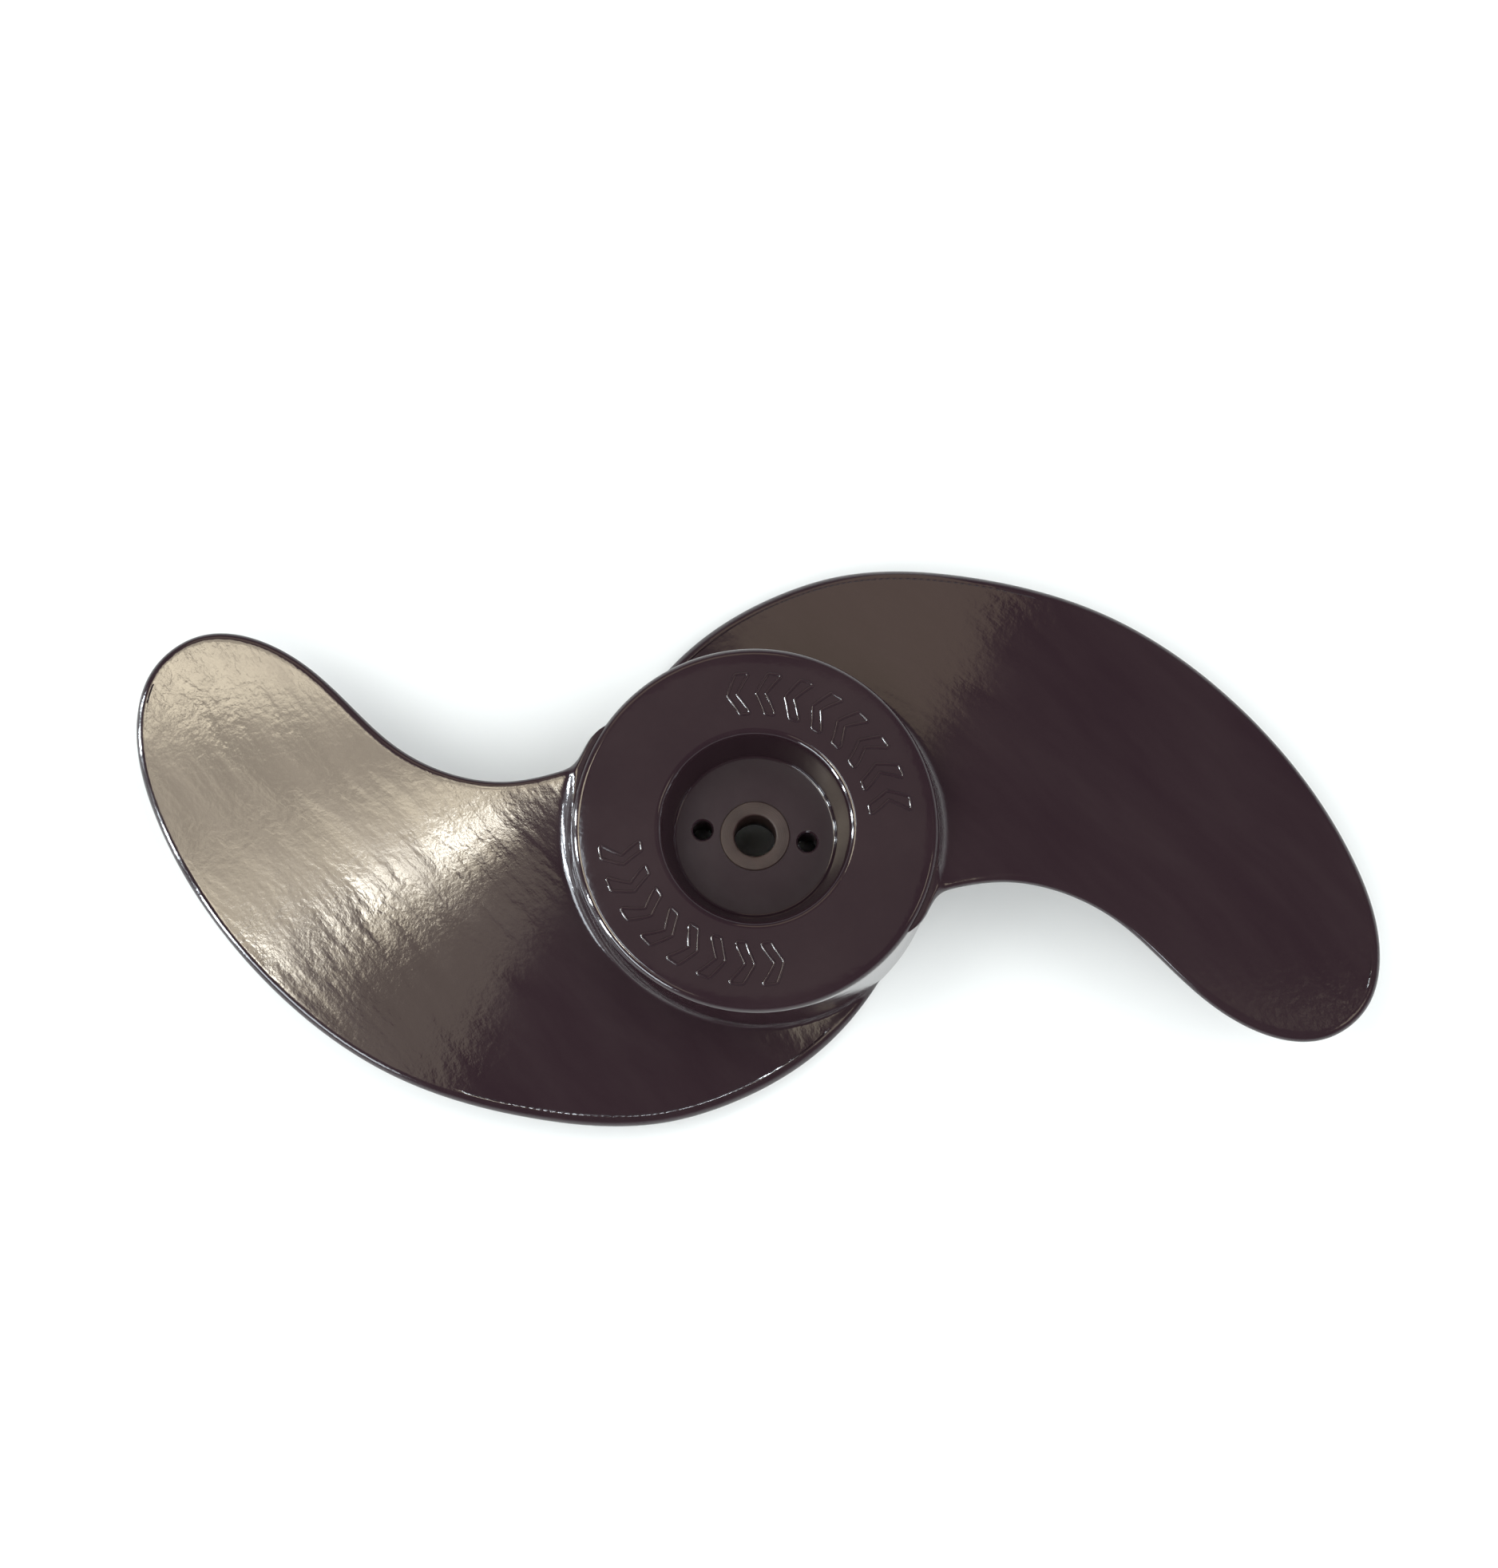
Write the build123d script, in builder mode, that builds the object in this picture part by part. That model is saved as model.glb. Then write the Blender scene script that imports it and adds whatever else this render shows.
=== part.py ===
"""Two-blade weedless propeller for an electric outboard (trolling) motor.

Frame: millimetres, +Z along the shaft towards the nut, z = 0 on the hub's motor-side rim.
The propeller is made as the regions of its moulding: a drafted hub shell, a nut recess, a boss with
the drive-pin slot, stiffening ribs, two swept blades, the shaft bush and two raised turning marks.
"""

import math
import os

from build123d import *

os.makedirs("parts", exist_ok=True)

# Hub
HUB_HEIGHT = 37.8
RIM_R = 43.5             # outer radius at the motor-side rim
FRONT_R = 41.2           # outer radius where the front edge rounding starts
EDGE_ROUND = 2.0         # rounding between side wall and front face
WALL = 2.6
FACE_THICKNESS = 2.8
RIM_ROUND = 0.8

# Nut recess in the front face
LIP_R = 21.3             # opening radius at the face, before its rounding
LIP_ROUND = 1.4
FLOOR_R = 18.2
FLOOR_Z = 23.7
FLOOR_THICKNESS = 3.0
FLOOR_ROUND = 1.2
CUP_R = 24.0             # where the recess cup meets the shell's face

# Shaft bush and drive boss
BORE_R = 4.75            # 3/8 inch (9.5 mm) shaft
BUSH_R = 8.0
BUSH_PROUD = 0.5
BORE_CHAMFER = 0.5
SHAFT_CLEAR_R = 5.2      # boss hole below the bush
BOSS_R = 11.0
BOSS_Z = 5.0
PIN_LINE = -7.0          # degrees, the line of the drive pin and of the two small holes
SLOT_WIDTH = 5.2         # takes a 3/16 inch (4.8 mm) drive pin
SLOT_LENGTH = 31.0
SLOT_DEPTH = 6.0
BAR_LENGTH = 34.0
BAR_WIDTH = 11.5
PIN_HOLE_R = 2.25
PIN_HOLE_SPACING = 24.2

# Stiffening ribs
RIB_COUNT = 6
RIB_THICKNESS = 2.4
RIB_Z = 9.0

# Blades: a screw surface with a little rake, thickest in the middle of the chord
PITCH = 86.3
BLADE_Z = 20.8           # height of the aft surface at REF_R and REF_ANGLE
REF_R = 45.0
REF_ANGLE = 45.0
RAKE = -0.174            # height gained per mm of radius
RAKE_EASE = 0.00067
ROOT_THICKNESS = 6.0
TIP_THICKNESS = 3.2
EDGE_THICKNESS = 2.8
LEADING_EDGE = [
    (-33, 26), (-29, 32.5), (-16, 47.5), (7.5, 61), (20, 64.5), (51.5, 63.5), (84.5, 53),
    (113, 31.5), (128, 13), (137.5, -4.5), (142.5, -30.5),
]
TRAILING_EDGE = [
    (139.5, -39.5), (129, -47.5), (106.5, -42.5), (95, -33), (81.5, -20.5), (68.5, -14), (57, -12),
    (45, -13.5), (34, -18),
]
ROOT_INSIDE = (0, 10)    # closes the outline inside the hub
GRID_R = (36, 152)
GRID_ANGLE = (-34, 148)
GRID_STEPS = 40

# Raised turning marks on the front face: two rows of outlined chevrons
MARK_R = 30.5            # radius of their middle line
MARK_HEIGHT = 0.3
MARK_LINE = 0.7
MARK_STARTS = (5, 185)   # degrees
CHEVRON_COUNT = 8
CHEVRON_PITCH = 12.3     # degrees
CHEVRON_WIDTH = 10.0     # across the row, along the radius
CHEVRON_ARM = 3.2
CHEVRON_POINT = 3.0


def polar(r, angle):
    """Point at radius r and angle in degrees."""
    return (r * math.cos(math.radians(angle)), r * math.sin(math.radians(angle)))


def wall_r(z):
    """Outer radius of the drafted side wall at height z."""
    return RIM_R + (FRONT_R - RIM_R) * z / (HUB_HEIGHT - EDGE_ROUND)


# Hub shell: drafted side wall and front face, open to the motor side
face_under = HUB_HEIGHT - FACE_THICKNESS
with BuildPart() as hub_shell:
    with BuildSketch(Plane.XZ):
        with BuildLine():
            Polyline(
                (RIM_R, 0), (wall_r(HUB_HEIGHT), HUB_HEIGHT), (CUP_R, HUB_HEIGHT), (CUP_R, face_under),
                (wall_r(face_under) - WALL, face_under), (RIM_R - WALL, 0), close=True,
            )
        make_face()
    revolve(axis=Axis.Z)
    fillet(hub_shell.edges().filter_by(GeomType.CIRCLE).group_by(Axis.Z)[-1].sort_by(SortBy.RADIUS)[-1],
           EDGE_ROUND)
    fillet(hub_shell.edges().filter_by(GeomType.CIRCLE).group_by(Axis.Z)[0], RIM_ROUND)
hub_shell.part.label = "hub_shell"

# The space that the whole hub fills, for cutting the blade roots to it
with BuildPart() as hub_space:
    with BuildSketch(Plane.XZ):
        with BuildLine():
            Polyline((0, 0), (RIM_R, 0), (wall_r(HUB_HEIGHT), HUB_HEIGHT), (0, HUB_HEIGHT), close=True)
        make_face()
    revolve(axis=Axis.Z)

# Recess cup: rounded lip, sloping wall and floor, with two small holes over the drive pin
cup_under = FLOOR_Z - FLOOR_THICKNESS
with BuildPart() as recess_cup:
    with BuildSketch(Plane.XZ):
        with BuildLine():
            Polyline(
                (CUP_R, HUB_HEIGHT), (LIP_R, HUB_HEIGHT), (FLOOR_R, FLOOR_Z), (BUSH_R, FLOOR_Z),
                (BUSH_R, cup_under), (FLOOR_R + WALL, cup_under), (CUP_R, face_under), close=True,
            )
        make_face()
    revolve(axis=Axis.Z)
    rings = recess_cup.edges().filter_by(GeomType.CIRCLE)
    fillet(rings.group_by(Axis.Z)[-1].sort_by(SortBy.RADIUS)[0], LIP_ROUND)
    rings = recess_cup.edges().filter_by(GeomType.CIRCLE)
    floor_rings = rings.filter_by_position(Axis.Z, FLOOR_Z - 0.1, FLOOR_Z + 0.1)
    fillet(floor_rings.sort_by(SortBy.RADIUS)[-1], FLOOR_ROUND)
    with BuildSketch(Plane.XY.offset(cup_under).rotated((0, 0, PIN_LINE))):
        with GridLocations(PIN_HOLE_SPACING, 0, 2, 1):
            Circle(PIN_HOLE_R)
    extrude(amount=FLOOR_THICKNESS, mode=Mode.SUBTRACT)
recess_cup.part.label = "recess_cup"

# Drive boss: holds the bush, with the drive-pin slot across its motor side
boss_height = cup_under - BOSS_Z
slot_roof = BOSS_Z + SLOT_DEPTH
boss_plane = Plane.XY.offset(BOSS_Z).rotated((0, 0, PIN_LINE))
with BuildPart() as drive_boss:
    with BuildSketch(boss_plane):
        Circle(BOSS_R)
        SlotOverall(BAR_LENGTH, BAR_WIDTH)
    extrude(amount=boss_height)
    with BuildSketch(boss_plane):
        Circle(SHAFT_CLEAR_R)
        SlotOverall(SLOT_LENGTH, SLOT_WIDTH)
    extrude(amount=SLOT_DEPTH, mode=Mode.SUBTRACT)
    with BuildSketch(boss_plane.offset(SLOT_DEPTH)):
        Circle(BUSH_R)
        with GridLocations(PIN_HOLE_SPACING, 0, 2, 1):
            Circle(PIN_HOLE_R)
    extrude(amount=boss_height - SLOT_DEPTH, mode=Mode.SUBTRACT)
drive_boss.part.label = "drive_boss"

# Shaft bush, just proud of the recess floor
with BuildPart() as shaft_bush:
    with BuildSketch(Plane.XY.offset(slot_roof)):
        Circle(BUSH_R)
        Circle(BORE_R, mode=Mode.SUBTRACT)
    extrude(amount=FLOOR_Z + BUSH_PROUD - slot_roof)
    chamfer(shaft_bush.edges().group_by(Axis.Z)[-1].sort_by(SortBy.RADIUS)[0], BORE_CHAMFER)
shaft_bush.part.label = "shaft_bush"


def make_rib(angle, inner_r):
    """A flat rib between the boss, the cup and the shell, shaped by cutting it to them."""
    radial = Plane(origin=(0, 0, 0), x_dir=(*polar(1, angle), 0), z_dir=(*polar(1, angle - 90), 0))
    outer_r = RIM_R - WALL + 0.2
    with BuildPart() as rib:
        with BuildSketch(radial):
            with BuildLine():
                Polyline(
                    (inner_r, RIB_Z), (outer_r, RIB_Z), (outer_r, face_under + 0.5),
                    (CUP_R - 1.0, face_under + 0.5), (FLOOR_R + 1.5, cup_under + 1.0),
                    (inner_r, cup_under + 1.0), close=True,
                )
            make_face()
        extrude(amount=RIB_THICKNESS / 2, both=True)
        add(hub_shell.part, mode=Mode.SUBTRACT)
        add(recess_cup.part, mode=Mode.SUBTRACT)
        add(drive_boss.part, mode=Mode.SUBTRACT)
    return rib.part


ribs = []
for number in range(RIB_COUNT):
    on_pin_line = number % (RIB_COUNT // 2) == 0
    inner = (SLOT_LENGTH + BAR_LENGTH) / 4 if on_pin_line else BUSH_R + 1.0
    rib = make_rib(PIN_LINE + number * 360 / RIB_COUNT, inner)
    rib.label = f"rib_{number + 1}"
    ribs.append(rib)


def edge_angle(edge, r):
    """Angle in degrees of a blade edge at radius r, straight between the edge's points."""
    points = sorted((math.hypot(x, y), math.degrees(math.atan2(y, x))) for x, y in edge)
    for (r0, a0), (r1, a1) in zip(points, points[1:]):
        if r <= r1:
            return a0 + (a1 - a0) * max(r - r0, 0) / (r1 - r0)
    return points[-1][1]


def aft_height(r, angle):
    """Height of the blade's aft surface: a screw of constant pitch, raked along the radius."""
    reach = r - REF_R
    turned = (angle - REF_ANGLE) / 360
    return BLADE_Z + RAKE * reach + RAKE_EASE * reach**2 - PITCH * turned


def thickness(r, angle):
    """Blade thickness along Z, fullest in the middle of the chord and tapering to the tip."""
    leading = edge_angle(LEADING_EDGE, r)
    trailing = edge_angle(TRAILING_EDGE, r)
    share = min(max((angle - trailing) / max(leading - trailing, 1.0), 0.0), 1.0)
    along = min(max((r - RIM_R) / (TIP_R - RIM_R), 0.0), 1.0)
    middle = ROOT_THICKNESS + (TIP_THICKNESS - ROOT_THICKNESS) * along
    return EDGE_THICKNESS + (middle - EDGE_THICKNESS) * math.sin(math.pi * share) ** 2


def blade_surface(height):
    """Smooth face through points of height(r, angle) over the whole blade."""
    rows = []
    for i in range(GRID_STEPS + 1):
        r = GRID_R[0] + (GRID_R[1] - GRID_R[0]) * i / GRID_STEPS
        row = []
        for j in range(GRID_STEPS + 1):
            angle = GRID_ANGLE[0] + (GRID_ANGLE[1] - GRID_ANGLE[0]) * j / GRID_STEPS
            row.append(Vector(*polar(r, angle), height(r, angle)))
        rows.append(row)
    return Face.make_surface_from_array_of_points(rows, tol=0.02)


TIP_R = max(math.hypot(x, y) for x, y in LEADING_EDGE + TRAILING_EDGE)
aft_face = blade_surface(aft_height)
forward_face = blade_surface(lambda r, angle: aft_height(r, angle) - thickness(r, angle))
with BuildPart() as blade_1:
    with BuildSketch():
        with BuildLine():
            Spline(*LEADING_EDGE, *TRAILING_EDGE)
            Polyline(TRAILING_EDGE[-1], ROOT_INSIDE, LEADING_EDGE[0])
        make_face()
    extrude(amount=HUB_HEIGHT - EDGE_ROUND / 2)
    extrude(aft_face, amount=2 * HUB_HEIGHT, dir=(0, 0, -1), mode=Mode.INTERSECT)
    extrude(forward_face, amount=2 * HUB_HEIGHT, dir=(0, 0, 1), mode=Mode.INTERSECT)
    add(hub_space.part, mode=Mode.SUBTRACT)
blade_1.part.label = "blade_1"

with BuildPart() as blade_2:
    add(blade_1.part.rotate(Axis.Z, 180))
blade_2.part.label = "blade_2"


def chevron(start):
    """Corners of a chevron that points anticlockwise, bent round the hub from angle start."""
    half = CHEVRON_WIDTH / 2
    corners = [
        (0, -half), (CHEVRON_ARM, -half), (CHEVRON_ARM + CHEVRON_POINT, 0),
        (CHEVRON_ARM, half), (0, half), (CHEVRON_POINT, 0),
    ]
    return [polar(MARK_R + out, start + math.degrees(along / MARK_R)) for along, out in corners]


def make_mark(start):
    """A row of raised outlined chevrons that point the way the propeller turns."""
    with BuildPart() as mark:
        with BuildSketch(Plane.XY.offset(HUB_HEIGHT)):
            for number in range(CHEVRON_COUNT):
                corners = chevron(start + number * CHEVRON_PITCH)
                with BuildLine():
                    Polyline(*corners, close=True)
                make_face()
                with BuildLine():
                    Polyline(*corners, close=True)
                    offset(amount=-MARK_LINE, mode=Mode.REPLACE)
                make_face(mode=Mode.SUBTRACT)
        extrude(amount=MARK_HEIGHT)
    return mark.part


marks = []
for number, start in enumerate(MARK_STARTS, 1):
    mark = make_mark(start)
    mark.label = f"turn_mark_{number}"
    marks.append(mark)

pieces = [hub_shell.part, recess_cup.part, drive_boss.part, shaft_bush.part, blade_1.part, blade_2.part]
for piece in pieces + ribs + marks:
    export_step(piece, f"parts/{piece.label}.step")
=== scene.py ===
import math

import bmesh
import bpy
import numpy as np
from mathutils import Matrix, Vector


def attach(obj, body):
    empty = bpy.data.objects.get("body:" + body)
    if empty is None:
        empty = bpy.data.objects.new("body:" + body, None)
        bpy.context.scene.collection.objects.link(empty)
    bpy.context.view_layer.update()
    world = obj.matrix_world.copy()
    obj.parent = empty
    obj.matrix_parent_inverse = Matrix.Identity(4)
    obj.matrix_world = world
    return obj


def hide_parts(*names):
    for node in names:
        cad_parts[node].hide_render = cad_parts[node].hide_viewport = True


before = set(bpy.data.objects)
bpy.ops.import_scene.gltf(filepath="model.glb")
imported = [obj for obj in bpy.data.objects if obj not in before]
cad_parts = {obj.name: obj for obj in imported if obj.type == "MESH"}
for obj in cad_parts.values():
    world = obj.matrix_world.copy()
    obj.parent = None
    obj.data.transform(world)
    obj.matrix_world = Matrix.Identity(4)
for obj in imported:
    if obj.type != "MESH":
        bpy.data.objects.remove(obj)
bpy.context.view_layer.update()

MM = 0.001
SLOT_PLASTIC = "black_plastic"
SLOT_BUSH = "bush_plastic"

# ---------------------------------------------------------------------------------------------
# Driving dimensions, in millimetres and degrees, in the frame of the CAD model
# ---------------------------------------------------------------------------------------------
HUB_HEIGHT = 37.8
RIM_R = 43.5
FRONT_R = 41.2
EDGE_ROUND = 2.0
WALL = 2.6
FACE_THICKNESS = 2.8
RIM_ROUND = 0.8
LIP_R = 21.3
LIP_ROUND = 1.8
FLOOR_R = 18.5
FLOOR_Z = 23.7
FLOOR_THICKNESS = 3.0
FLOOR_ROUND = 0.7
CUP_R = 24.0
BORE_R = 4.75
BUSH_R = 8.0
BUSH_PROUD = 0.5
BUSH_FOOT_Z = 11.0
PIN_LINE = -7.0
PIN_HOLE_R = 2.25
PIN_HOLE_SPACING = 24.2

PITCH = 86.3
BLADE_Z = 20.8
REF_R = 45.0
REF_ANGLE = 45.0
RAKE = -0.174
RAKE_EASE = 0.00067
LOWEST_AFT = 3.0
HIGHEST_AFT = 36.3
EASING = 0.7
ROOT_THICKNESS = 6.0
TIP_THICKNESS = 3.2
EDGE_THICKNESS = 2.8
AFT_EDGE = 1.7           # height of the edge rounding on the aft side
FORWARD_EDGE = EDGE_THICKNESS - AFT_EDGE
EDGE_WIDTH = 2.0         # width of the edge rounding in plan
FILLET_ANGLES = (-22, 10, 35, 60, 80)      # degrees round the hub, from the trailing edge's root
FILLET_RADII = (3.3, 3.3, 2.3, 1.1, 0.7)   # root fillet's radius at those angles
LEADING_EDGE = [
    (-33, 26), (-29, 32.5), (-16, 47.5), (7.5, 61), (20, 64.5), (51.5, 63.5), (84.5, 53),
    (113, 31.5), (128, 13), (137.5, -4.5), (142.5, -30.5),
]
TRAILING_EDGE = [
    (139.5, -39.5), (129, -47.5), (106.5, -42.5), (95, -33), (81.5, -20.5), (68.5, -14), (57, -12),
    (45, -13.5), (41.3, -14.9), (39.7, -16.6), (38.5, -18.7), (36.7, -21.4), (33, -24),
]

MARK_R = 30.5
MARK_HEIGHT = 0.3
MARK_LINE = 0.7
MARK_STARTS = (5, 185)
CHEVRON_COUNT = 8
CHEVRON_PITCH = 12.3
CHEVRON_WIDTH = 10.0
CHEVRON_ARM = 3.2
CHEVRON_POINT = 3.0

LATHE_SEGMENTS = 192
ROW_EASE = 0.35          # how much closer the blade's rows lie at its root and tip
ROOT_DEPTH = 3.5         # how far the blade's root reaches inside the hub's rim radius


def polar(r, angle):
    """Point at radius r and angle in degrees."""
    return r * math.cos(math.radians(angle)), r * math.sin(math.radians(angle))


def wall_r(z):
    """Outer radius of the drafted side wall at height z."""
    return RIM_R + (FRONT_R - RIM_R) * z / (HUB_HEIGHT - EDGE_ROUND)


def mesh_object(name, points, faces):
    """Smooth-shaded object with a mesh of these points (in millimetres) and faces."""
    mesh = bpy.data.meshes.new(name)
    mesh.from_pydata([tuple(p) for p in np.asarray(points) * MM], [], faces)
    mesh.update()
    mesh.polygons.foreach_set("use_smooth", [True] * len(mesh.polygons))
    made = bpy.data.objects.new(name, mesh)
    bpy.context.scene.collection.objects.link(made)
    return made


# ---------------------------------------------------------------------------------------------
# Turned parts
# ---------------------------------------------------------------------------------------------
def rounded(corners, steps=8):
    """Profile through corners (r, z, rounding radius), with each rounding as an arc."""
    profile = []
    count = len(corners)
    for i, (r, z, radius) in enumerate(corners):
        here = Vector((r, z))
        if radius == 0:
            profile.append(here)
            continue
        before = (Vector(corners[i - 1][:2]) - here).normalized()
        after = (Vector(corners[(i + 1) % count][:2]) - here).normalized()
        half = before.angle(after) / 2
        centre = here + (before + after).normalized() * radius / math.sin(half)
        start = here + before * radius / math.tan(half) - centre
        end = here + after * radius / math.tan(half) - centre
        turn = start.angle_signed(end)
        for step in range(steps + 1):
            profile.append(centre + Matrix.Rotation(-turn * step / steps, 2) @ start)
    return profile


def spaced(profile, longest):
    """The closed profile with its long straight runs divided."""
    result = []
    for here, there in zip(profile, profile[1:] + profile[:1]):
        pieces = max(1, math.ceil((there - here).length / longest))
        result += [here.lerp(there, k / pieces) for k in range(pieces)]
    return result


def turned(name, corners, segments=LATHE_SEGMENTS, longest=3.0):
    """Solid of revolution of a closed profile about the shaft axis."""
    profile = spaced(rounded(corners), longest)
    count = len(profile)
    points = []
    for k in range(segments):
        angle = 360 * k / segments
        points += [(*polar(p.x, angle), p.y) for p in profile]
    faces = []
    for k in range(segments):
        a, b = k * count, (k + 1) % segments * count
        for i in range(count):
            j = (i + 1) % count
            faces.append((a + i, b + i, b + j, a + j))
    return outward(mesh_object(name, points, faces))


def outward(piece):
    """Merges the piece's doubled points and turns its faces outward."""
    work = bmesh.new()
    work.from_mesh(piece.data)
    bmesh.ops.remove_doubles(work, verts=work.verts, dist=1e-7)
    bmesh.ops.delete(work, geom=[v for v in work.verts if not v.link_faces], context="VERTS")
    bmesh.ops.recalc_face_normals(work, faces=work.faces)
    work.to_mesh(piece.data)
    work.free()
    return piece


def sharpen(piece, angle=35):
    """Shades the piece smooth except across edges sharper than the angle."""
    mesh = piece.data
    work = bmesh.new()
    work.from_mesh(mesh)
    bmesh.ops.recalc_face_normals(work, faces=work.faces)
    for edge in work.edges:
        if len(edge.link_faces) == 2:
            edge.smooth = edge.calc_face_angle(0) < math.radians(angle)
    work.to_mesh(mesh)
    work.free()
    return piece


def make_hub_shell():
    """Drafted side wall and front face, open to the motor side."""
    face_under = HUB_HEIGHT - FACE_THICKNESS
    shell = turned("hub_shell_body", [
        (RIM_R, 0, RIM_ROUND), (wall_r(HUB_HEIGHT), HUB_HEIGHT, EDGE_ROUND), (CUP_R, HUB_HEIGHT, 0),
        (CUP_R, face_under, 0), (wall_r(face_under) - WALL, face_under, 1.0),
        (RIM_R - WALL, 0, RIM_ROUND),
    ])
    return sharpen(shell)


def cut(piece, cutter):
    """The piece with the cutter's volume taken away."""
    modifier = piece.modifiers.new("cut", "BOOLEAN")
    modifier.operation = "DIFFERENCE"
    modifier.solver = "EXACT"
    modifier.object = cutter
    bpy.context.view_layer.update()
    result = bpy.data.meshes.new_from_object(piece.evaluated_get(bpy.context.evaluated_depsgraph_get()))
    piece.modifiers.clear()
    piece.data = result
    bpy.data.objects.remove(cutter)


def make_recess_cup():
    """Recess with a rounded lip, a sloping wall and a floor with the two holes over the drive pin."""
    under = FLOOR_Z - FLOOR_THICKNESS
    cup = turned("recess_cup_body", [
        (CUP_R, HUB_HEIGHT, 0), (LIP_R, HUB_HEIGHT, LIP_ROUND), (FLOOR_R, FLOOR_Z, FLOOR_ROUND),
        (BUSH_R, FLOOR_Z, 0), (BUSH_R, under, 0), (FLOOR_R + WALL, under, 1.0),
        (CUP_R, HUB_HEIGHT - FACE_THICKNESS, 0),
    ])
    for side in (-1, 1):
        x, y = polar(side * PIN_HOLE_SPACING / 2, PIN_LINE)
        flare = 0.35
        cutter = turned("pin_hole_cutter", [
            (0.001, under - 1, 0), (0.001, FLOOR_Z + 1, 0), (PIN_HOLE_R + flare + 1, FLOOR_Z + 1, 0),
            (PIN_HOLE_R + flare, FLOOR_Z, 0), (PIN_HOLE_R, FLOOR_Z - flare, 0), (PIN_HOLE_R, under - 1, 0),
        ], segments=48, longest=50)
        cutter.location = (x * MM, y * MM, 0)
        cut(cup, cutter)
    return sharpen(cup, 28)


def make_shaft_bush():
    """Bush with a chamfered bore, just proud of the recess floor."""
    bush = turned("shaft_bush_body", [
        (BORE_R, BUSH_FOOT_Z, 0.3), (BORE_R, FLOOR_Z + BUSH_PROUD, 0.5), (BUSH_R, FLOOR_Z + BUSH_PROUD, 0.35),
        (BUSH_R, BUSH_FOOT_Z, 0.3),
    ], segments=128)
    return sharpen(bush)


# ---------------------------------------------------------------------------------------------
# Blades
# ---------------------------------------------------------------------------------------------
def spline_through(points, count):
    """count points, evenly spaced along a natural cubic spline through the given points."""
    points = np.array(points, float)
    chord = np.r_[0, np.cumsum(np.hypot(*np.diff(points, axis=0).T))]
    step = np.diff(chord)
    size = len(points)
    matrix = np.eye(size)
    right = np.zeros((size, 2))
    slope = np.diff(points, axis=0) / step[:, None]
    for i in range(1, size - 1):
        matrix[i, i - 1:i + 2] = step[i - 1], 2 * (step[i - 1] + step[i]), step[i]
        right[i] = 6 * (slope[i] - slope[i - 1])
    bend = np.linalg.solve(matrix, right)

    def at(t):
        i = np.clip(np.searchsorted(chord, t) - 1, 0, size - 2)
        h = step[i][:, None]
        a = (chord[i + 1] - t)[:, None]
        b = (t - chord[i])[:, None]
        return (bend[i] * a**3 + bend[i + 1] * b**3) / (6 * h) \
            + (points[i] / h - bend[i] * h / 6) * a + (points[i + 1] / h - bend[i + 1] * h / 6) * b

    fine = at(np.linspace(0, chord[-1], 4000))
    length = np.r_[0, np.cumsum(np.hypot(*np.diff(fine, axis=0).T))]
    even = np.linspace(0, length[-1], count)
    return np.c_[np.interp(even, length, fine[:, 0]), np.interp(even, length, fine[:, 1])]


def softplus(x):
    return np.logaddexp(0, x)


def aft_height(r, angle):
    """Height of the aft surface: a raked screw, eased off just inside the hub's two ends."""
    reach = r - REF_R
    z = BLADE_Z + RAKE * reach + RAKE_EASE * reach**2 - PITCH * (angle - REF_ANGLE) / 360
    z = LOWEST_AFT + EASING * softplus((z - LOWEST_AFT) / EASING)
    return HIGHEST_AFT - EASING * softplus((HIGHEST_AFT - z) / EASING)


def edge_angle(edge, r):
    """Angle in degrees of a blade edge at radius r."""
    points = sorted((math.hypot(x, y), math.degrees(math.atan2(y, x))) for x, y in edge)
    return np.interp(r, [p[0] for p in points], [p[1] for p in points])


def thickness(r, angle, depth, tip_r):
    """Blade thickness along Z, fullest in the middle of the chord and tapering to the tip and edges."""
    leading = edge_angle(LEADING_EDGE, r)
    trailing = edge_angle(TRAILING_EDGE, r)
    share = np.clip((angle - trailing) / np.maximum(leading - trailing, 1.0), 0, 1)
    along = np.clip((r - RIM_R) / (tip_r - RIM_R), 0, 1)
    middle = ROOT_THICKNESS + (TIP_THICKNESS - ROOT_THICKNESS) * along
    fade = np.minimum(depth / EDGE_WIDTH, 1) * (1 - along**12)
    return EDGE_THICKNESS + (middle - EDGE_THICKNESS) * np.sin(np.pi * share)**2 * fade


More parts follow.
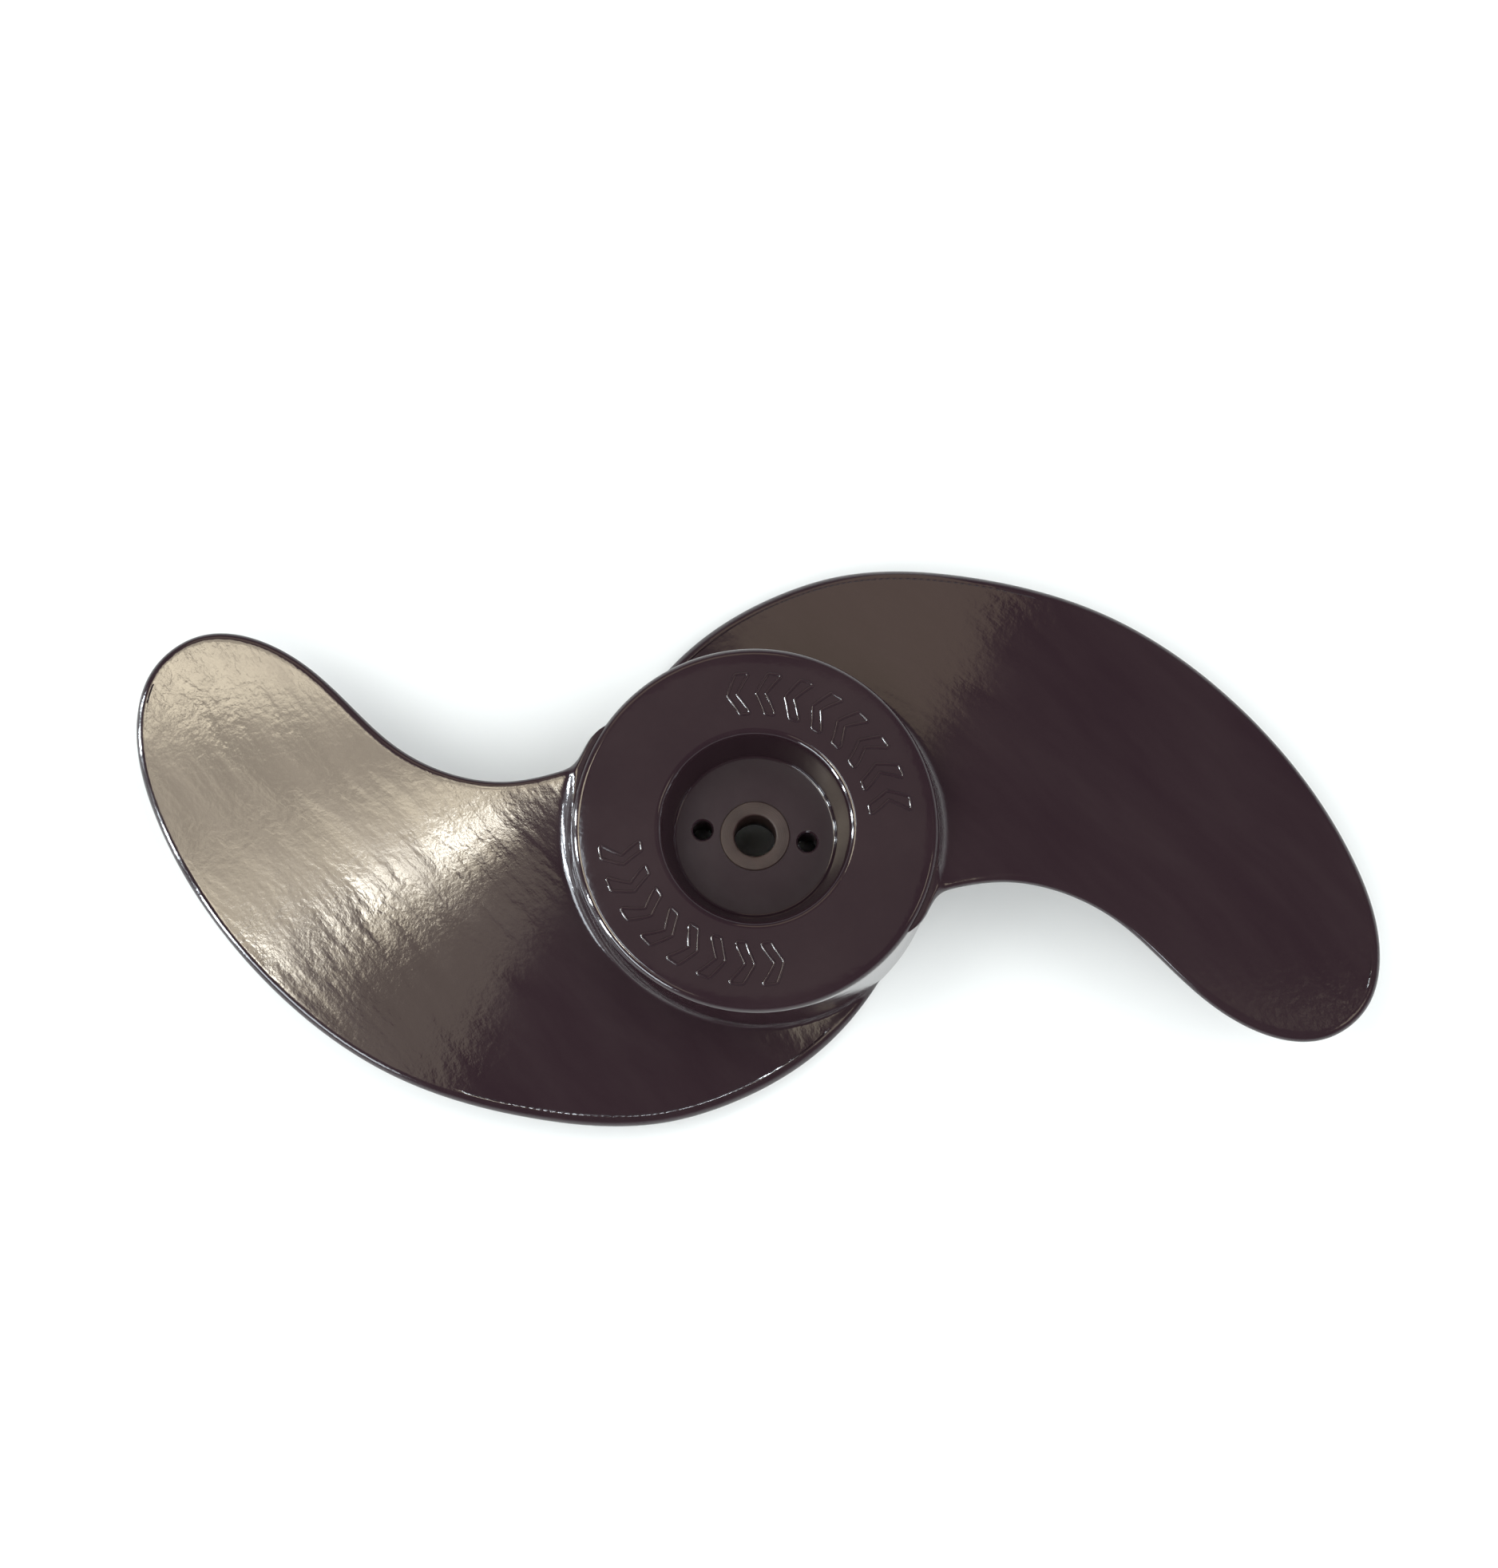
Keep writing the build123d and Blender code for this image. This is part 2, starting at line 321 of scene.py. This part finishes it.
def blade_plan(rows, edge_steps, columns):
    """Plan grid of the blade: rows from the hub to the tip, columns from leading to trailing edge.

    The columns beside the edges run parallel to them, for clean edge roundings.
    Returns the points (rows, columns, 2) and each one's distance from the edge.
    """
    outline = spline_through(LEADING_EDGE + TRAILING_EDGE, 3001)
    outside = np.hypot(*outline.T) > RIM_R - ROOT_DEPTH
    outline = outline[np.argmax(outside):len(outside) - np.argmax(outside[::-1])]
    apex = np.argmax(np.hypot(*outline.T))
    ease = np.linspace(0, 1, rows)
    ease = ease - ROW_EASE * np.sin(2 * np.pi * ease) / (2 * np.pi)
    index_lead = ease * apex
    index_trail = len(outline) - 1 - ease * (len(outline) - 1 - apex)

    tangent = np.gradient(outline, axis=0)
    tangent /= np.hypot(*tangent.T)[:, None]
    inward = np.c_[tangent[:, 1], -tangent[:, 0]]

    def sample(values, index):
        number = np.arange(len(outline))
        return np.c_[np.interp(index, number, values[:, 0]), np.interp(index, number, values[:, 1])]

    lead, lead_in = sample(outline, index_lead), sample(inward, index_lead)
    trail, trail_in = sample(outline, index_trail), sample(inward, index_trail)
    turn = np.linspace(0, math.pi / 2, edge_steps)
    inset = EDGE_WIDTH * (1 - np.cos(turn))
    inset = np.r_[inset, EDGE_WIDTH * 1.25]

    inner_lead = lead + lead_in * inset[-1]
    inner_trail = trail + trail_in * inset[-1]
    share = np.linspace(0, 1, columns)
    a0 = np.arctan2(inner_lead[0, 1], inner_lead[0, 0])
    a1 = np.arctan2(inner_trail[0, 1], inner_trail[0, 0])
    r0, r1 = np.hypot(*inner_lead[0]), np.hypot(*inner_trail[0])
    sweep = a0 + (a1 - a0) * share
    arc_r = r0 + (r1 - r0) * share
    arc = np.c_[arc_r * np.cos(sweep), arc_r * np.sin(sweep)]
    chord = inner_lead[0] + (inner_trail[0] - inner_lead[0]) * share[:, None]
    bulge = arc - chord
    middle = inner_lead[:, None] + (inner_trail - inner_lead)[:, None] * share[None, :, None]
    middle = middle + bulge[None] * (1 - ease)[:, None, None]

    grid = np.concatenate([
        lead[:, None] + lead_in[:, None] * inset[None, :-1, None],
        middle,
        trail[:, None] + trail_in[:, None] * inset[None, -2::-1, None],
    ], axis=1)
    depth = np.full(grid.shape[:2], inset[-1])
    depth[:, :edge_steps] = inset[:-1]
    depth[:, -edge_steps:] = inset[-2::-1]
    return grid, depth


def make_blade(name, turn, rows=190, edge_steps=9, columns=90):
    """A blade with rounded edges and a root fillet, turned about the shaft axis."""
    grid, depth = blade_plan(rows, edge_steps, columns)
    x, y = grid[..., 0], grid[..., 1]
    r = np.hypot(x, y)
    angle = np.degrees(np.arctan2(y, x))
    tip_r = r.max()
    round_off = 1 - np.sqrt(np.clip(1 - (1 - np.minimum(depth / EDGE_WIDTH, 1))**2, 0, 1))
    plain = aft_height(r, angle)
    lowest = plain - thickness(r, angle, depth, tip_r) + FORWARD_EDGE * round_off
    plain = plain - AFT_EDGE * round_off

    def with_fillet(z, side):
        fillet = np.interp(angle, FILLET_ANGLES, FILLET_RADII)
        gap = np.clip((r - wall_r(z)) / fillet, 0, 1)
        rise = fillet * (1 - np.sqrt(1 - (1 - gap)**2))
        return z + side * rise

    aft = np.minimum(with_fillet(plain, 1), np.maximum(plain, HIGHEST_AFT + 0.2))
    forward = np.maximum(with_fillet(lowest, -1), np.minimum(lowest, 0.05))
    count = columns + 2 * edge_steps
    top = np.dstack([x, y, aft]).reshape(-1, 3)
    under = np.dstack([x, y, forward]).reshape(-1, 3)
    number = np.arange(rows * count).reshape(rows, count)
    below = number + rows * count
    below[:, 0] = number[:, 0]
    below[:, -1] = number[:, -1]
    faces = []
    for upper, flip in ((number, False), (below, True)):
        quads = np.stack([upper[:-1, :-1], upper[:-1, 1:], upper[1:, 1:], upper[1:, :-1]], axis=-1)
        quads = quads.reshape(-1, 4)
        faces += [tuple(int(v) for v in (q[::-1] if flip else q)) for q in quads]
    upper, lower = number[0], below[0]
    for k in range(count - 1):
        ring = [upper[k], upper[k + 1], lower[k + 1], lower[k]]
        ring = [int(v) for n, v in enumerate(ring) if v not in ring[:n]]
        faces.append(tuple(ring))
    points = np.vstack([top, under])
    c, s = math.cos(math.radians(turn)), math.sin(math.radians(turn))
    points = points @ np.array([[c, s, 0], [-s, c, 0], [0, 0, 1]])
    return outward(mesh_object(name, points, faces))


# ---------------------------------------------------------------------------------------------
# Turning marks
# ---------------------------------------------------------------------------------------------
def make_turn_mark(name, start, profile_steps=8):
    """Row of outlined chevrons, each a rounded bead that stands on the front face."""
    half = (CHEVRON_WIDTH - MARK_LINE) / 2
    point = CHEVRON_ARM + CHEVRON_POINT - MARK_LINE
    corners = [
        (MARK_LINE / 2, -half, 0.4), (CHEVRON_ARM, -half, 0.6), (point, 0, 0.6),
        (CHEVRON_ARM, half, 0.6), (MARK_LINE / 2, half, 0.4), (CHEVRON_POINT + MARK_LINE / 2, 0, 0.3),
    ]
    line = np.array([tuple(p) for p in spaced(rounded(corners, 5), 1.2)])
    along = np.roll(line, -1, axis=0) - np.roll(line, 1, axis=0)
    along /= np.hypot(*along.T)[:, None]
    outward = np.c_[along[:, 1], -along[:, 0]]
    points, faces = [], []
    size = len(line)
    for number in range(CHEVRON_COUNT):
        first = len(points)
        for step in range(profile_steps + 1):
            turn = math.pi * step / profile_steps
            ring = line + outward * MARK_LINE / 2 * math.cos(turn)
            for a, out in ring:
                x, y = polar(MARK_R + out, start + number * CHEVRON_PITCH + math.degrees(a / MARK_R))
                points.append((x, y, HUB_HEIGHT + MARK_HEIGHT * math.sin(turn)))
        for step in range(profile_steps + 1):
            here, there = first + step * size, first + (step + 1) % (profile_steps + 1) * size
            faces += [(here + i, here + (i + 1) % size, there + (i + 1) % size, there + i)
                      for i in range(size)]
    return sharpen(mesh_object(name, points, faces), 50)


# ---------------------------------------------------------------------------------------------
# Materials
# ---------------------------------------------------------------------------------------------
class Nodes:
    """A material's node tree, with short calls for the nodes used here."""

    def __init__(self, name):
        self.material = bpy.data.materials.new(name)
        self.material.use_nodes = True
        self.tree = self.material.node_tree
        self.shader = self.tree.nodes["Principled BSDF"]

    def add(self, kind, inputs=(), **settings):
        node = self.tree.nodes.new(kind)
        for key, value in settings.items():
            setattr(node, key, value)
        for key, value in dict(inputs).items():
            if isinstance(value, bpy.types.NodeSocket):
                self.tree.links.new(value, node.inputs[key])
            else:
                node.inputs[key].default_value = value
        return node

    def place(self, turn=0):
        """Object coordinates, turned about the shaft axis."""
        where = self.add("ShaderNodeTexCoord").outputs["Object"]
        return self.add("ShaderNodeMapping", {
            "Vector": where, "Rotation": (0, 0, math.radians(turn)),
        }).outputs["Vector"]

    def noise(self, vector, scale, detail=3, roughness=0.5):
        return self.add("ShaderNodeTexNoise", {
            "Vector": vector, "Scale": scale, "Detail": detail, "Roughness": roughness,
        }).outputs["Fac"]

    def math(self, operation, a, b):
        return self.add("ShaderNodeMath", {0: a, 1: b}, operation=operation).outputs["Value"]

    def remap(self, value, low, high, to_low, to_high):
        return self.add("ShaderNodeMapRange", {
            "Value": value, "From Min": low, "From Max": high, "To Min": to_low, "To Max": to_high,
        }).outputs["Result"]

    def blend(self, share, first, second):
        mix = self.add("ShaderNodeMix", data_type="RGBA")
        self.tree.links.new(share, mix.inputs["Factor"])
        mix.inputs["A"].default_value = (*first, 1)
        mix.inputs["B"].default_value = (*second, 1)
        return mix.outputs["Result"]

    def bump(self, height, distance, under=None):
        inputs = {"Height": height, "Distance": distance, "Strength": 1.0}
        if under is not None:
            inputs["Normal"] = under
        return self.add("ShaderNodeBump", inputs).outputs["Normal"]

    def finish(self, color, roughness, normal):
        """Links the looks to the shader and returns the material."""
        links = self.tree.links
        links.new(color, self.shader.inputs["Base Color"])
        links.new(roughness, self.shader.inputs["Roughness"])
        links.new(normal, self.shader.inputs["Normal"])
        self.shader.inputs["IOR"].default_value = 1.5
        return self.material


BLACK = (0.0205, 0.0102, 0.0138)
BLACK_WORN = (0.0255, 0.0140, 0.0172)
BUSH_DARK = (0.024, 0.0125, 0.0115)
BUSH_RUBBED = (0.036, 0.0195, 0.0175)
FLOW_LINE = -48          # degrees, the way the flow marks run


def moulded_plastic(name, turn=0, flow=0.0, roughness=(0.16, 0.3)):
    """Glossy warm-black moulding with orange peel; flow is the depth in metres of its flow marks."""
    nodes = Nodes(name)
    where = nodes.place(turn)
    cloud = nodes.noise(where, 35, 5, 0.6)
    peel = nodes.noise(where, 420, 2, 0.5)
    grain = nodes.noise(where, 2600, 1, 0.5)
    normal = nodes.bump(peel, 0.00003)
    normal = nodes.bump(grain, 0.000002, normal)
    if flow:
        drift = nodes.add("ShaderNodeTexNoise", {"Vector": where, "Scale": 22.0, "Detail": 2})
        shift = nodes.add("ShaderNodeVectorMath", {0: drift.outputs["Color"], 1: (0.012, 0.012, 0.0)},
                          operation="MULTIPLY")
        bent = nodes.add("ShaderNodeVectorMath", {0: where, 1: shift.outputs[0]}, operation="ADD").outputs[0]
        along = nodes.add("ShaderNodeMapping", {
            "Vector": bent, "Rotation": (0, 0, math.radians(FLOW_LINE)), "Scale": (5.0, 1.0, 1.0),
        }, vector_type="TEXTURE").outputs["Vector"]
        streaks = nodes.noise(along, 170, 5, 0.55)
        broad = nodes.noise(along, 60, 3, 0.5)
        mottle = nodes.noise(bent, 900, 3, 0.6)
        normal = nodes.bump(mottle, flow * 0.12, normal)
        normal = nodes.bump(streaks, flow * 0.5, normal)
        normal = nodes.bump(broad, flow * 1.6, normal)
        cloud = nodes.math("MULTIPLY", nodes.math("ADD", broad, streaks), 0.5)
    color = nodes.blend(nodes.remap(cloud, 0.35, 0.65, 0, 1), BLACK, BLACK_WORN)
    return nodes.finish(color, nodes.remap(cloud, 0.35, 0.65, *roughness), normal)


def matt_bush():
    """Matt greyish plastic of the shaft bush, with fine turning rings."""
    nodes = Nodes("bush_plastic")
    where = nodes.place()
    cloud = nodes.noise(where, 300, 4, 0.6)
    parts = nodes.add("ShaderNodeSeparateXYZ", {"Vector": where}).outputs
    squares = nodes.math("ADD", nodes.math("MULTIPLY", parts["X"], parts["X"]),
                         nodes.math("MULTIPLY", parts["Y"], parts["Y"]))
    rings = nodes.math("SINE", nodes.math("MULTIPLY", nodes.math("SQRT", squares, 0.0), 14000.0), 0.0)
    normal = nodes.bump(rings, 0.000004, nodes.bump(cloud, 0.00002))
    color = nodes.blend(nodes.remap(cloud, 0.35, 0.65, 0, 1), BUSH_DARK, BUSH_RUBBED)
    return nodes.finish(color, nodes.remap(cloud, 0.3, 0.7, 0.42, 0.6), normal)


def studio_floor():
    """Pale matt floor."""
    nodes = Nodes("studio_floor")
    where = nodes.place()
    cloud = nodes.noise(where, 6, 3, 0.5)
    color = nodes.blend(cloud, (0.90, 0.915, 0.91), (0.93, 0.94, 0.935))
    roughness = nodes.remap(cloud, 0, 1, 0.75, 0.85)
    return nodes.finish(color, roughness, nodes.bump(nodes.noise(where, 900, 2), 0.00001))


def paint(piece, material):
    """Gives the whole piece one material."""
    piece.data.materials.clear()
    piece.data.materials.append(material)


def paint_floor(cup, material):
    """Gives the recess floor, inside its corner rounding, a material of its own."""
    cup.data.materials.append(material)
    for polygon in cup.data.polygons:
        x, y, z = polygon.center / MM
        if abs(z - FLOOR_Z) < 0.05 and math.hypot(x, y) < FLOOR_R - FLOOR_ROUND:
            polygon.material_index = 1


# ---------------------------------------------------------------------------------------------
# Assembly
# ---------------------------------------------------------------------------------------------
hub_plastic = moulded_plastic("hub_plastic", roughness=(0.06, 0.12))
satin_plastic = moulded_plastic("satin_plastic", roughness=(0.2, 0.28))
inner_plastic = moulded_plastic("inner_plastic", roughness=(0.3, 0.45))
blade_plastics = [moulded_plastic(f"blade_plastic_{k + 1}", 180 * k, 0.00018, (0.08, 0.17)) for k in range(2)]
bush = matt_bush()

shell = make_hub_shell()
cup = make_recess_cup()
pieces = [
    (shell, "hub_shell", hub_plastic, SLOT_PLASTIC),
    (cup, "recess_cup", hub_plastic, SLOT_PLASTIC),
    (make_shaft_bush(), "shaft_bush", bush, SLOT_BUSH),
]
for number, blade_plastic in enumerate(blade_plastics):
    blade = make_blade(f"blade_{number + 1}_body", 180 * number)
    pieces.append((blade, f"blade_{number + 1}", blade_plastic, SLOT_PLASTIC))
for number, start in enumerate(MARK_STARTS, 1):
    mark = make_turn_mark(f"turn_mark_{number}_body", start)
    pieces.append((mark, f"turn_mark_{number}", hub_plastic, SLOT_PLASTIC))

for piece, node, material, slot in pieces:
    paint(piece, material)
    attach(piece, "root")
    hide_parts(node)

paint_floor(cup, satin_plastic)

for node in ["drive_boss"] + [f"rib_{number}" for number in range(1, 7)]:
    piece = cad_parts[node]
    paint(piece, inner_plastic)
    edge = piece.modifiers.new("edge", "BEVEL")
    edge.width = 0.3 * MM
    edge.segments = 3
    edge.limit_method = "ANGLE"
    edge.angle_limit = math.radians(50)
    edge.harden_normals = True


# ---------------------------------------------------------------------------------------------
# Stage, camera and lights
# ---------------------------------------------------------------------------------------------
FLOOR_SIZE = 12.0
FLOOR_DROP = 0.0001      # just under the hub's rim, so that the two don't coincide
floor_corners = np.array([(-1, -1, 0), (1, -1, 0), (1, 1, 0), (-1, 1, 0)]) * FLOOR_SIZE / 2 / MM
floor = mesh_object("floor", floor_corners, [(0, 1, 2, 3)])
floor.location.z = -FLOOR_DROP
paint(floor, studio_floor())

CAMERA_PLACE = Vector((-6.5, -70.8, 546.1)) * MM
CAMERA_RIGHT = Vector((0.99992, -0.00985, 0.00851))
CAMERA_BACK = Vector((-0.00994, -0.15669, 0.98760))
camera_data = bpy.data.cameras.new("camera")
camera_data.lens = 52.76
camera_data.sensor_width = 36.0
camera = bpy.data.objects.new("camera", camera_data)
camera_axes = Matrix((CAMERA_RIGHT, CAMERA_BACK.cross(CAMERA_RIGHT), CAMERA_BACK)).transposed()
camera.matrix_world = Matrix.Translation(CAMERA_PLACE) @ camera_axes.to_4x4()
bpy.context.scene.collection.objects.link(camera)
bpy.context.scene.camera = camera


def soft_light(name, place, size, power, color, along=0.0):
    """Rectangular card that faces the propeller and shows only in its gloss.

    Its first side runs the way the angle along says, in plan. Places and sizes are in metres.
    """
    light = bpy.data.lights.new(name, "AREA")
    light.shape = "RECTANGLE"
    light.size, light.size_y = size
    light.energy = power
    light.color = color
    lamp = bpy.data.objects.new(name, light)
    away = (Vector(place) - CENTRE).normalized()
    first = Vector((*polar(1, along), 0))
    first = (first - away * first.dot(away)).normalized()
    turned_axes = Matrix((first, away.cross(first), away)).transposed()
    lamp.matrix_world = Matrix.Translation(place) @ turned_axes.to_4x4()
    lamp.visible_diffuse = False
    bpy.context.scene.collection.objects.link(lamp)


def sun(name, azimuth, elevation, strength):
    """Soft even light on the floor and the propeller, without a mirror image in the gloss."""
    light = bpy.data.lights.new(name, "SUN")
    light.energy = strength
    light.angle = math.radians(50)
    light.color = (0.97, 1.0, 1.0)
    lamp = bpy.data.objects.new(name, light)
    where = Vector((*polar(math.cos(math.radians(elevation)), azimuth), math.sin(math.radians(elevation))))
    lamp.matrix_world = (-where).to_track_quat("-Z", "Y").to_matrix().to_4x4()
    lamp.visible_glossy = False
    bpy.context.scene.collection.objects.link(lamp)


WARM = (1.0, 0.89, 0.67)
DAYLIGHT = (0.86, 0.94, 1.0)
CENTRE = Vector((0, 0, 0.02))
PANE_SIZE = (0.10, 0.11)
PANE_POWER = 0.28
WINDOW_PANES = (         # each row's place along Y and the share of the power of its three panes
    (0.33, (0.8, 1.1, 0.9)),
    (0.21, (1.0, 0.8, 1.2)),
    (0.09, (0.7, 2.3, 0.9)),
    (-0.03, (1.1, 0.7, 1.2)),
    (-0.15, (0.8, 1.3, 1.3)),
)
for row, (y, shares) in enumerate(WINDOW_PANES):
    for column, share in enumerate(shares):
        place = (-0.65 + 0.11 * column, y, 1.0)
        soft_light(f"window_{row}_{column}", place, PANE_SIZE, PANE_POWER * share, WARM)
soft_light("window_corner", (-0.50, -0.27, 1.0), (0.21, 0.12), 0.95, WARM, -30)
soft_light("window_glare", (-0.478, -0.268, 1.0), (0.05, 0.09), 0.55, (1.0, 0.97, 0.88), -30)
soft_light("window_shade", (-0.31, -0.39, 1.0), (0.24, 0.24), 0.26, WARM, -20)
soft_light("door", (-0.25, -0.02, 1.0), (0.12, 0.32), 1.0, DAYLIGHT)
soft_light("ceiling", (0.0, 0.13, 1.0), (0.36, 0.30), 0.09, (1.0, 0.92, 0.78))
soft_light("far_wall", (-0.35, 0.92, 1.0), (1.1, 0.45), 1.8, (1.0, 0.82, 0.56))
soft_light("near_wall", (0.98, -0.18, 1.0), (0.25, 0.4), 0.9, WARM)
soft_light("tip_lamp", (0.60, 0.17, 1.0), (0.04, 0.04), 0.01, WARM)
soft_light("front_left", (-0.84, -0.73, 0.55), (0.7, 0.30), 9.0, DAYLIGHT, -43)
LEFT_STRIPS = ((168, 0.05, 8.0), (178, 0.09, 14.0), (196, 0.05, 8.0), (207, 0.12, 9.0))
for azimuth, width, power in LEFT_STRIPS:
    place = (*polar(1.1, azimuth), 0.42)
    soft_light(f"left_strip_{azimuth}", place, (width, 0.45), power, DAYLIGHT, azimuth - 90)
for azimuth, strength in ((150, 1.6), (30, 1.3), (270, 1.3), (210, 0.8), (330, 0.8)):
    sun(f"fill_{azimuth}", azimuth, 48, strength)

world = bpy.data.worlds.new("studio")
world.use_nodes = True
bpy.context.scene.world = world
tree = world.node_tree
background = tree.nodes["Background"]
direction = tree.nodes.new("ShaderNodeTexCoord")
height = tree.nodes.new("ShaderNodeSeparateXYZ")
fade = tree.nodes.new("ShaderNodeMapRange")
tree.links.new(direction.outputs["Generated"], height.inputs["Vector"])
tree.links.new(height.outputs["Z"], fade.inputs["Value"])
fade.inputs["From Min"].default_value = 0.05
fade.inputs["From Max"].default_value = 0.40
fade.inputs["To Min"].default_value = 1.0
fade.inputs["To Max"].default_value = 0.10
fade.interpolation_type = "SMOOTHSTEP"
tree.links.new(fade.outputs["Result"], background.inputs["Strength"])
background.inputs["Color"].default_value = (0.95, 0.97, 1.0, 1)
bpy.context.scene.view_settings.view_transform = "Standard"

bpy.context.view_layer.update()
